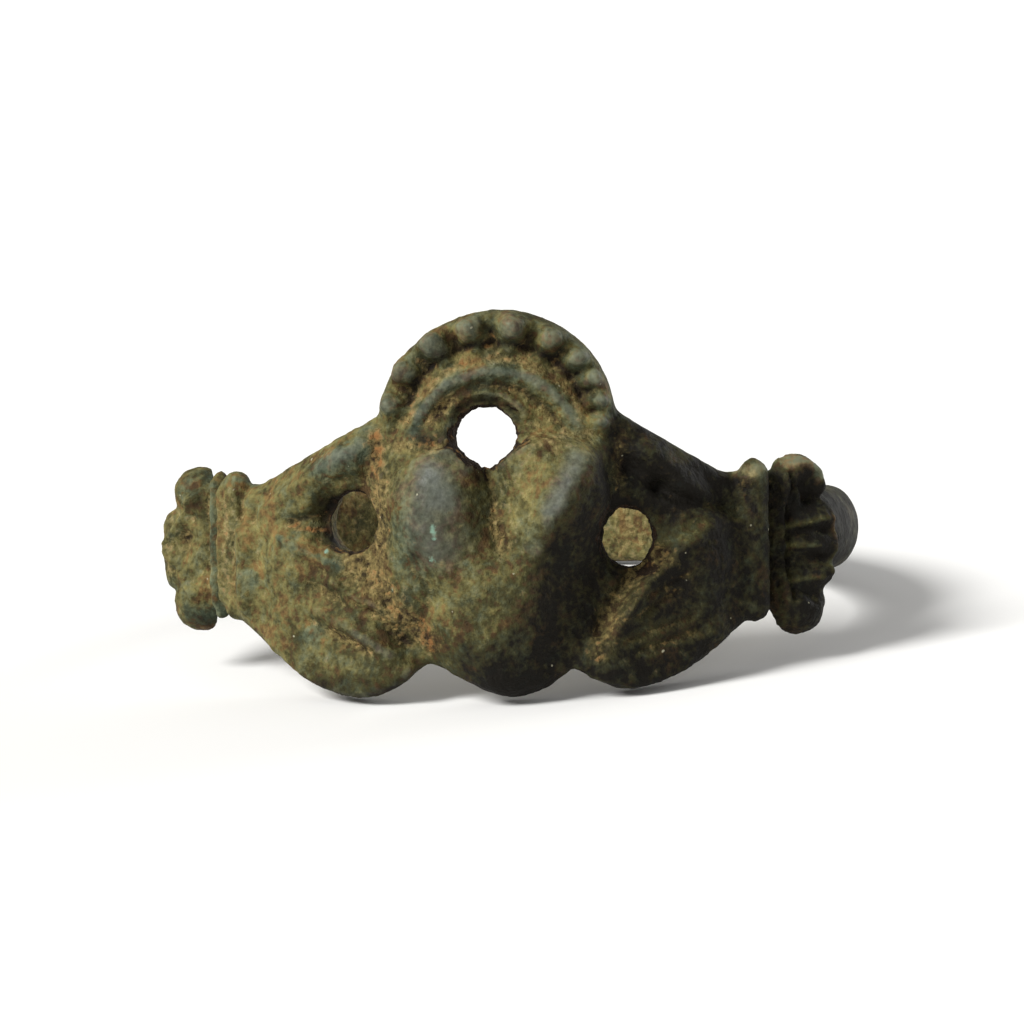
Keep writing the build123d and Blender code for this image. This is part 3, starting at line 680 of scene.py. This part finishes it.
# Painted shadow in the gaps between the pellets.
STAINS["dark"] += [Stain(0.35, 0.17, [place]) for place in DINTS]
print("stains of dark", len(STAINS["dark"]))
STAINS["pale"] = [
    # lip, channel, crown, back of the left hand, edge of the right palm, right cuff, heart;
    # on the tops of the right cuff and the rims of its lobe and petals this is painted highlight
    Stain(0.25, 0.08, LIP),
    Stain(0.25, 0.45, CHANNEL + [(3.0, -3.4)]),
    Stain(0.45, 0.4, [(2.7, 3.8), (3.1, 3.3)]),
    Stain(0.12, 1.3, arch(CROWN_ACROSS, 2.95, 2.4, 2.3, 75)),
    Stain(0.25, 0.3, [(3.84, 3.0), (3.84, 1.6)]),
    Stain(0.12, 0.9, [(-7.6, -0.2), (-7.4, -1.2)]),
    Stain(0.3, 0.35, [(6.3, 0.5), (5.2, -0.15), (4.3, -0.95), (3.7, -1.8)]),
    Stain(0.75, 0.25, [(8.1, 1.95), (8.5, 2.15)]),
    Stain(0.85, 0.2, LOBE_RIM[:3]),
    Stain(0.3, 0.35, [(3.2, 3.6), (3.5, 4.3)]),
    Stain(0.4, 0.08, PETAL_RIM),
    Stain(0.25, 0.4, [(0.6, 0.5), (1.2, 2.4)]),
    Stain(0.15, 0.5, [(-1.25, -1.83)]),
]
# Paler pellets, partly a painted highlight on their tops.
STAINS["pale"] += [Stain(0.3, 0.28, [place]) for place in PELLETS]
# Painted highlights along the ribs of the right frill.
STAINS["pale"] += [Stain(0.45, 0.08, rib) for rib in RIBS]
STAINS["pale"] += [Stain(0.2, 0.25, streak) for streak in PALM_STREAKS]
print("stains of pale", len(STAINS["pale"]))

# %% [markdown]
# Besides its stains, the crust is paler on faces that look up and to the left: partly dust
# that settles on top, partly painted light on the faces that turn to the key light. The whole
# left side is paler, partly as painted light. A line leans across the heart, and right of it
# the crust is nearly black: partly a darker patina, partly painted shade on the side away
# from the key light. The outside of the hoop is dark as well. Dark soil and painted shade
# line the walls of the holes, and the inside of the ring keeps a paler soil. The masks
# become named attributes of the mesh, which the shader reads.

# %% Lay the stains on the casting
STAINED = FACE_RADIUS - 0.7, FACE_RADIUS - 0.2  # reach, where stains fade in
FRONT = 15, 12.5  # across, from the hoop to the frills

across, up, reach = on_bezel(places)
front = smooth_step(*FRONT, abs(across))
face = smooth_step(*STAINED, reach) * front
patches = {}
for finish, stains in STAINS.items():
    laid = [stain.strength * nearness(stain, across, up) * face for stain in stains]
    patches[finish] = np.max(laid, axis=0)
    print("strongest", finish, round(float(patches[finish].max()), 2))

# %% Mark the sides, the inside and the walls of the holes
INSIDE = 9.5, 9.2  # reach
WALL = 0.65, 0.35  # share of a normal that points outward
NEAR_HOLE = 1.5, 1.3  # radii of the hole
LEFT_SIDE, RIGHT_SIDE = (-3.0, -8.0), (-0.3, 0.9)
LINE_ACROSS, LINE_LEAN = 1.3, 0.5  # the dark side's edge, and its slope to the right

inside = smooth_step(*INSIDE, reach)
outside = 1 - inside
left_side = smooth_step(*LEFT_SIDE, across) * front * outside
right_side = smooth_step(*RIGHT_SIDE, across - LINE_LEAN * up - LINE_ACROSS) * front * outside
holes = (CROWN_HOLE, LEFT_HOLE, RIGHT_HOLE)
off_hole = np.min([np.hypot(across - h.across, up - h.up) / h.radius for h in holes], axis=0)
steep = smooth_step(*WALL, abs((normals * outward(places)).sum(axis=1)))
hole_wall = steep * smooth_step(*NEAR_HOLE, off_hole)
print("share of the dark side", round(float(right_side.mean()), 3))

# %% Write the masks into the mesh
MEAN_TONE = 0.52  # 0 is brownish black, 0.5 olive, 1 ochre
# The paleness above, to the left and on the left side is partly painted light. The darkness on the
# right side is partly painted shade, and on the holes' walls it is painted shade.
DUST_AND_PAINTED_LIGHT_ABOVE, PAINTED_LIGHT_LEFT, LEFT_PALER_PAINTED_LIGHT, INSIDE_PALER = 0.12, 0.1, 0.1, 0.15
RIGHT_DARKER_PAINTED_SHADE, HOOP_DARKER, WALL_PAINTED_SHADE = 0.38, 0.35, 0.45
HOLLOW_SOIL, INSIDE_SOIL, WALL_SOIL, WALL_RUST = 0.6, 0.35, 0.9, 0.2
RIGHT_CLEANER, RIDGE_WEAR, HOOP_WEAR = 0.7, 0.4, 0.2

upright_normals = normals @ lying
# Faces that look up and to the left are paler: partly dust on top, partly painted light on the
# faces that turn to the key light.
dust_and_painted_light = DUST_AND_PAINTED_LIGHT_ABOVE * upright_normals[:, 2] - PAINTED_LIGHT_LEFT * upright_normals[:, 0]
# Left of the heart the crust is painted paler, partly as light. Right of the leaning line it is
# painted darker, partly as shade.
tone = MEAN_TONE + dust_and_painted_light + LEFT_PALER_PAINTED_LIGHT * left_side - RIGHT_DARKER_PAINTED_SHADE * right_side
tone = tone - HOOP_DARKER * on_hoop * outside + INSIDE_PALER * inside
# The dark and pale stains bring painted shade and painted highlights. The walls of the holes are
# painted darker as shade, on top of their soil.
tone = tone + patches["pale"] - patches["dark"] - WALL_PAINTED_SHADE * hole_wall
soil = HOLLOW_SOIL * hollow * (1 - RIGHT_CLEANER * right_side) + patches["soil"]
# Wear on the ridges, and the wear stains, which also paint a sheen where highlights fall.
wear_and_sheen = RIDGE_WEAR * ridge * (1 - np.maximum(left_side, right_side)) + patches["wear_and_sheen"]
masks = {
    "tone": tone,
    "soil": np.clip(soil + INSIDE_SOIL * inside + WALL_SOIL * hole_wall, 0, 1),
    "rust": np.maximum(patches["rust"], WALL_RUST * hole_wall),
    "wear_and_sheen": np.clip(wear_and_sheen + HOOP_WEAR * on_hoop * outside, 0, 1),
    "green": patches["green"],
    "verdigris": patches["verdigris"],
}
for name, values in masks.items():
    attribute = skin.attributes.new(name, "FLOAT", "POINT")
    attribute.data.foreach_set("value", values.astype(np.float32))
    print("mean of mask", name, round(float(values.mean()), 3))

# %% [markdown]
# ## Fewer triangles
#
# The squares are equally small everywhere, though only the bezel's relief needs them. A
# decimation keeps seven tenths of the triangles, joining them where the surface is
# flattest, mostly on the hoop and on the bezel's back. The masks stay with the corners.

# %% Join the flattest triangles
KEPT = 0.7  # share of the triangles

skin.update()
fewer = casting.modifiers.new("fewer triangles", "DECIMATE")
fewer.ratio = KEPT
graph = bpy.context.evaluated_depsgraph_get()
skin = bpy.data.meshes.new_from_object(casting.evaluated_get(graph))
casting.modifiers.clear()
casting.data = skin
skin.calc_loop_triangles()
print("triangles kept", len(skin.loop_triangles))
print("masks kept", [name for name in masks if name in skin.attributes])

# %% [markdown]
# ## Patinated cast copper alloy
#
# The skin of a long buried copper alloy isn't bare metal but a mineral crust. Its tone
# runs from brownish black through olive to dusty ochre, mottled at half a millimetre and
# gritty at a sixth of one, and its tone mask also carries painted light and shade. Here
# and there it is blue-green, and where it is worn it turns smooth and blue-grey, which
# also paints a sheen where highlights fall. Soil in the hollows is a crumbly ochre,
# rust-brown in places. So this is one shader, a crust without metallic shine, whose
# masks mix the colours, the gloss and the bumps.

# %% Helpers for colours and nodes


def linear(code):
    """Turns an sRGB hex code into linear red, green, blue and alpha."""
    parts = [int(code[i:i + 2], 16) / 255 for i in (1, 3, 5)]
    return [p / 12.92 if p <= 0.04045 else ((p + 0.055) / 1.055) ** 2.4 for p in parts] + [1.0]


def node(tree, kind, inputs, output=0, **settings):
    """Adds a node with its settings, and its inputs as values or links. Returns an output."""
    made = tree.nodes.new("ShaderNode" + kind)
    for name, value in settings.items():
        setattr(made, name, value)
    for socket, value in inputs.items():
        if isinstance(value, bpy.types.NodeSocket):
            tree.links.new(value, made.inputs[socket])
        else:
            made.inputs[socket].default_value = value
    return made.outputs[output] if made.outputs else made


print("middle grey in linear light", round(linear("#808080")[0], 3))


# %% Colours of the crust
BLACK_CRUST = linear("#120f09")
OLIVE_GREEN, OLIVE_BROWN = linear("#3d3a1f"), linear("#45331d")
OCHRE, WARM_OCHRE = linear("#7d7546"), linear("#856a3e")
BLACK_GREEN, MOSS_GREEN, PALE_GREEN = linear("#11130f"), linear("#3b4435"), linear("#6e755c")
# BLUE_GREY is the pale end of the wear, which also paints a sheen where highlights fall.
DARK_GREY, BLUE_GREY = linear("#30322c"), linear("#70746a")
DARK_SOIL, SOIL, PALE_SOIL = linear("#2a2016"), linear("#7b6c43"), linear("#a39368")
DARK_RUST, RUST = linear("#352011"), linear("#805c36")
VERDIGRIS, SAND = linear("#75917f"), linear("#a9a58c")
print("olive in linear light", [round(part, 3) for part in OLIVE_GREEN[:3]])

# %% [markdown]
# Each pattern below has the size of what it stands for. Grain and crumbs are grit of
# about a sixth of a millimetre, which just shows in the picture.

# %% Noises of the crust, by their size in millimetres
BLOTCH_SIZE, HUE_SIZE, MOTTLE_SIZE = 1.2, 0.8, 0.5
GRAIN_SIZE, BEND_SIZE, CRUMB_SIZE = 0.18, 0.2, 0.17

patina = bpy.data.materials.new("patinated cast copper alloy")
patina.use_nodes = True
tree = patina.node_tree
tree.nodes.clear()

place_m = node(tree, "TexCoord", {}, "Object")
place = node(tree, "VectorMath", {0: place_m, 3: MM}, operation="SCALE")
blotches = node(tree, "TexNoise", {"Vector": place, "Scale": 1 / BLOTCH_SIZE, "Detail": 2.0})
hues = node(
    tree, "TexNoise",
    {"Vector": place, "Scale": 1 / HUE_SIZE, "Detail": 4.0, "Roughness": 0.6, "Distortion": 0.6},
)
mottle = node(
    tree, "TexNoise", {"Vector": place, "Scale": 1 / MOTTLE_SIZE, "Detail": 4.0, "Roughness": 0.7}
)
grain = node(
    tree, "TexNoise", {"Vector": place, "Scale": 1 / GRAIN_SIZE, "Detail": 2.0, "Roughness": 0.55}
)
print("nodes up to the noises", len(tree.nodes))

# %% [markdown]
# Crumbs are cells of a Voronoi pattern. A fine noise bends their edges and is mixed into
# their tones, so that they look like grit and not like a mosaic.

# %% Crumbs, and the masks as nodes
BEND = 0.16, 0.16, 0.16  # millimetres
CRUMB_SPREAD = 0.28  # how far apart the tones of two crumbs can lie

bends = node(tree, "TexNoise", {"Vector": place, "Scale": 1 / BEND_SIZE, "Detail": 2.0}, "Color")
bent_place = node(tree, "VectorMath", {0: bends, 1: BEND, 2: place}, operation="MULTIPLY_ADD")
crumb_gap = node(tree, "TexVoronoi", {"Vector": bent_place, "Scale": 1 / CRUMB_SIZE}, "Distance")
crumb_cell = crumb_gap.node.outputs["Color"]
crumb_tone = node(
    tree, "Math", {0: crumb_cell, 1: CRUMB_SPREAD, 2: -CRUMB_SPREAD / 2}, operation="MULTIPLY_ADD"
)
crumbs = node(tree, "Math", {0: crumb_tone, 1: bends.node.outputs["Fac"]}, operation="ADD")
mask = {name: node(tree, "Attribute", {}, "Fac", attribute_name=name) for name in masks}
print("noises and masks", len(tree.nodes))

# %% [markdown]
# The crust's tone is its mask, with the mask's painted light and shade, plus the four
# patterns. Each lies round 0.5, so the sum is offset by their mean before it runs over
# the three colours.

# %% Crust colour from its tone
BLOTCH, MOTTLE, GRAIN, CRUMB = 0.7, 0.9, 0.6, 0.3  # how strongly each pattern moves the tone
OFFSET = (BLOTCH + MOTTLE + GRAIN + CRUMB) / 2

tone = node(tree, "Math", {0: blotches, 1: BLOTCH, 2: mask["tone"]}, operation="MULTIPLY_ADD")
tone = node(tree, "Math", {0: mottle, 1: MOTTLE, 2: tone}, operation="MULTIPLY_ADD")
tone = node(tree, "Math", {0: grain, 1: GRAIN, 2: tone}, operation="MULTIPLY_ADD")
tone = node(tree, "Math", {0: crumbs, 1: CRUMB, 2: tone}, operation="MULTIPLY_ADD")
low_tone = node(tree, "MapRange", {"Value": tone, "From Min": OFFSET, "From Max": OFFSET + 0.5})
high_tone = node(
    tree, "MapRange", {"Value": tone, "From Min": OFFSET + 0.5, "From Max": OFFSET + 1.0}
)
hue = node(tree, "Math", {0: crumbs, 1: 0.6, 2: hues}, operation="MULTIPLY_ADD")
browner = node(tree, "MapRange", {"Value": hue, "From Min": 0.78, "From Max": 0.64, "To Max": 0.9})
olive = node(tree, "Mix", {0: browner, 6: OLIVE_GREEN, 7: OLIVE_BROWN}, 2, data_type="RGBA")
ochre = node(tree, "Mix", {0: browner, 6: OCHRE, 7: WARM_OCHRE}, 2, data_type="RGBA")
crust = node(tree, "Mix", {0: low_tone, 6: BLACK_CRUST, 7: olive}, 2, data_type="RGBA")
crust = node(tree, "Mix", {0: high_tone, 6: crust, 7: ochre}, 2, data_type="RGBA")
print("nodes up to the crust", len(tree.nodes))

# %% [markdown]
# Over the crust lie the blue-green patina, the wear with its painted sheen, the soil and
# the verdigris. Noise breaks up the edges of each, so no patch looks painted.

# %% Blue-green patina, and wear with its painted sheen, over the crust
green_edge = node(tree, "Math", {0: hue, 1: 2.0, 2: mask["green"]}, operation="MULTIPLY_ADD")
greenish = node(
    tree, "MapRange", {"Value": green_edge, "From Min": 1.65, "From Max": 2.3, "To Max": 0.85}
)
moss = node(tree, "Mix", {0: low_tone, 6: BLACK_GREEN, 7: MOSS_GREEN}, 2, data_type="RGBA")
moss = node(tree, "Mix", {0: high_tone, 6: moss, 7: PALE_GREEN}, 2, data_type="RGBA")
colour = node(tree, "Mix", {0: greenish, 6: crust, 7: moss}, 2, data_type="RGBA")

# Wear turns the colour blue-grey; on the lobes and the cuff's tops this is a painted sheen as well.
wear_and_sheen_edge = node(tree, "Math", {0: mottle, 1: 0.8, 2: mask["wear_and_sheen"]}, operation="MULTIPLY_ADD")
wear_and_sheen = node(tree, "MapRange", {"Value": wear_and_sheen_edge, "From Min": 0.55, "From Max": 1.45})
grey = node(tree, "Mix", {0: grain, 6: DARK_GREY, 7: BLUE_GREY}, 2, data_type="RGBA")
colour = node(tree, "Mix", {0: wear_and_sheen, 6: colour, 7: grey}, 2, data_type="RGBA")
print("nodes up to the wear", len(tree.nodes))

# %% Soil and verdigris over the crust
soil_edge = node(tree, "Math", {0: crumbs, 1: 1.0, 2: mask["soil"]}, operation="MULTIPLY_ADD")
soil_edge = node(tree, "Math", {0: mottle, 1: 1.0, 2: soil_edge}, operation="MULTIPLY_ADD")
soil = node(tree, "MapRange", {"Value": soil_edge, "From Min": 1.25, "From Max": 1.85})
soil_tone = node(tree, "Math", {0: grain, 1: 0.7, 2: crumbs}, operation="MULTIPLY_ADD")
# The soil takes the tone mask too, so its painted light and shade darken and pale the soil as well.
soil_tone = node(tree, "Math", {0: mask["tone"], 1: 0.8, 2: soil_tone}, operation="MULTIPLY_ADD")
lumps = node(tree, "MapRange", {"Value": soil_tone, "From Min": 1.02, "From Max": 1.45})
bright = node(tree, "MapRange", {"Value": soil_tone, "From Min": 1.42, "From Max": 1.75})
dry = node(tree, "Mix", {0: lumps, 6: DARK_SOIL, 7: SOIL}, 2, data_type="RGBA")
dry = node(tree, "Mix", {0: bright, 6: dry, 7: PALE_SOIL}, 2, data_type="RGBA")
rusty = node(tree, "Mix", {0: lumps, 6: DARK_RUST, 7: RUST}, 2, data_type="RGBA")
rust_edge = node(tree, "Math", {0: crumbs, 1: 2.0, 2: mask["rust"]}, operation="MULTIPLY_ADD")
rust = node(tree, "MapRange", {"Value": rust_edge, "From Min": 1.2, "From Max": 1.8})
earth = node(tree, "Mix", {0: rust, 6: dry, 7: rusty}, 2, data_type="RGBA")
colour = node(tree, "Mix", {0: soil, 6: colour, 7: earth}, 2, data_type="RGBA")

speck_edge = node(tree, "Math", {0: crumbs, 1: 1.6, 2: mask["verdigris"]}, operation="MULTIPLY_ADD")
specks = node(tree, "MapRange", {"Value": speck_edge, "From Min": 1.35, "From Max": 1.8})
colour = node(tree, "Mix", {0: specks, 6: colour, 7: VERDIGRIS}, 2, data_type="RGBA")
print("nodes up to the verdigris", len(tree.nodes))

# %% [markdown]
# Grains of sand stick to the crust here and there, one in each cell of a coarse Voronoi
# pattern. The finest sand is under a tenth of a millimetre across, which just shows in
# the picture.

# %% Sand grains
SAND_GAP, SAND_BEND = 0.9, 0.12  # millimetres

bent = node(tree, "VectorMath", {0: grain, 3: SAND_BEND}, operation="SCALE")
sand_place = node(tree, "VectorMath", {0: place, 1: bent}, operation="ADD")
sand = node(tree, "TexVoronoi", {"Vector": sand_place, "Scale": 1 / SAND_GAP}, "Distance")
grains = node(tree, "MapRange", {"Value": sand, "From Min": 0.05, "From Max": 0.025, "To Max": 0.7})
colour = node(tree, "Mix", {0: grains, 6: colour, 7: SAND}, 2, data_type="RGBA")
print("nodes up to the sand", len(tree.nodes))

# %% [markdown]
# The bumps follow the same noises as the colours, so every light grain is also a raised
# one. Wear has smoothed them, and soil heaps up. A porous crust has a weaker shine than
# glass or glaze, so its specular level is low, and only wear makes it smooth enough to gleam.

# %% Gloss and bumps
MOTTLE_RISE, GRAIN_RISE, CRUMB_RISE = 0.12, 0.08, 0.08  # millimetres

dull = node(tree, "MapRange", {"Value": wear_and_sheen, "To Min": 0.75, "To Max": 0.4})
roughness = node(tree, "Mix", {0: soil, 2: dull, 3: 0.95}, data_type="FLOAT")
unworn = node(tree, "MapRange", {"Value": wear_and_sheen, "To Min": 1.0, "To Max": 0.2})
waves = node(tree, "Math", {0: mottle, 1: unworn}, operation="MULTIPLY")
skin_bump = node(tree, "Bump", {"Height": waves, "Strength": 0.8, "Distance": MOTTLE_RISE / MM})
grits = node(tree, "Math", {0: grain, 1: unworn}, operation="MULTIPLY")
grain_bump = node(
    tree, "Bump",
    {"Height": grits, "Strength": 0.8, "Distance": GRAIN_RISE / MM, "Normal": skin_bump},
)
crumb_rise = node(
    tree, "MapRange", {"Value": crumb_gap, "From Max": 0.8, "To Min": 1.0, "To Max": 0.0}
)
earthy = node(tree, "MapRange", {"Value": soil, "To Min": 0.15, "To Max": 1.0})
heap = node(tree, "Math", {0: crumb_rise, 1: earthy}, operation="MULTIPLY")
heaps = node(tree, "Math", {0: heap, 1: unworn}, operation="MULTIPLY")
bump = node(
    tree, "Bump",
    {"Height": heaps, "Strength": 1.0, "Distance": CRUMB_RISE / MM, "Normal": grain_bump},
)
shader = node(
    tree, "BsdfPrincipled",
    {
        "Base Color": colour, "Roughness": roughness, "Normal": bump,
        "Metallic": 0.0, "Specular IOR Level": 0.15,
    },
)
node(tree, "OutputMaterial", {"Surface": shader})
print("nodes in the patina", len(tree.nodes))

# %% [markdown]
# ## The finished piece
#
# The copy goes back to metres, takes its material and its place on the ring's body, and
# stands for the exact solid.

# %% Hand the casting over
skin.materials.clear()
skin.materials.append(patina)
skin.transform(Matrix.Scale(1 / MM, 4))
skin.shade_smooth()
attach(casting, "root")
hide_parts("cast_ring")
print("piece", casting.name, "with", len(skin.vertices), "corners")

# %% [markdown]
# ## Stage
#
# The ring lies on a large pale board under soft studio light from the upper left. The
# floor is so large that its edge isn't seen.

# %% Floor
FLOOR_HALF = 4.0  # metres

floor_mesh = bpy.data.meshes.new("floor")
corners = [(-1, -1, 0), (1, -1, 0), (1, 1, 0), (-1, 1, 0)]
corners = [tuple(FLOOR_HALF * c for c in corner) for corner in corners]
floor_mesh.from_pydata(corners, [], [(0, 1, 2, 3)])
floor = bpy.data.objects.new("floor", floor_mesh)
bpy.context.scene.collection.objects.link(floor)
paint = bpy.data.materials.new("matt white board")
paint.use_nodes = True
board = paint.node_tree.nodes["Principled BSDF"]
board.inputs["Base Color"].default_value = linear("#f2f1ee")
board.inputs["Roughness"].default_value = 0.9
floor_mesh.materials.append(paint)
print("floor side", 2 * FLOOR_HALF, "metres")

# %% [markdown]
# A broad key light from the upper left gives soft shading and leaves the right side dark.
# A weaker one from behind on the right draws a thin bright rim, and the world fills the
# shadows a little.

# %% Lights and world


def add_sun(name, energy, spread, toward):
    """A soft distant light that shines from this direction, spread over so many degrees."""
    light = bpy.data.lights.new(name, "SUN")
    light.energy = energy
    light.angle = radians(spread)
    sun = bpy.data.objects.new(name, light)
    sun.rotation_euler = Vector(toward).to_track_quat("Z", "Y").to_euler()
    bpy.context.scene.collection.objects.link(sun)


add_sun("key", energy=4.0, spread=24, toward=(-0.58, -0.5, 0.64))
add_sun("rim", energy=1.6, spread=30, toward=(0.75, 0.62, 0.22))

world = bpy.data.worlds.new("studio")
world.use_nodes = True
background = world.node_tree.nodes["Background"]
background.inputs["Color"].default_value = (1, 1, 1, 1)
background.inputs["Strength"].default_value = 0.35
bpy.context.scene.world = world
bpy.context.scene.view_settings.view_transform = "Standard"
print("lights", len(bpy.data.lights))

# %% [markdown]
# ## Camera
#
# A close picture of a small thing is taken with a long lens from some way off. The camera
# looks at the middle of the hoop, from a little above and a little to the right of its
# front. A small roll and shift give the picture the photograph's framing.

# %% Camera
AZIMUTH = radians(5.15)
ELEVATION = radians(11.93)
DISTANCE = 0.2953  # metres
LENS, SENSOR = 330.6, 36  # millimetres
CAMERA_ROLL = radians(3.26)
IMAGE_SIDE = 1024  # pixels
SHIFT = -13 / IMAGE_SIDE, 19 / IMAGE_SIDE  # across and up, as shares of the image

middle = Vector(bore_middle / MM)
toward = Vector((sin(AZIMUTH) * cos(ELEVATION), -cos(AZIMUTH) * cos(ELEVATION), sin(ELEVATION)))
camera_data = bpy.data.cameras.new("camera")
camera_data.lens = LENS
camera_data.sensor_width = SENSOR
camera_data.shift_x, camera_data.shift_y = SHIFT
camera_data.clip_start = 0.01
camera_data.clip_end = 100
camera = bpy.data.objects.new("camera", camera_data)
camera.location = middle + DISTANCE * toward
level = toward.to_track_quat("Z", "Y").to_matrix()
camera.rotation_euler = (level @ Matrix.Rotation(-CAMERA_ROLL, 3, "Z")).to_euler()
bpy.context.scene.collection.objects.link(camera)
bpy.context.scene.camera = camera
print("camera", round(DISTANCE * MM), "mm away with a lens of", LENS, "mm")
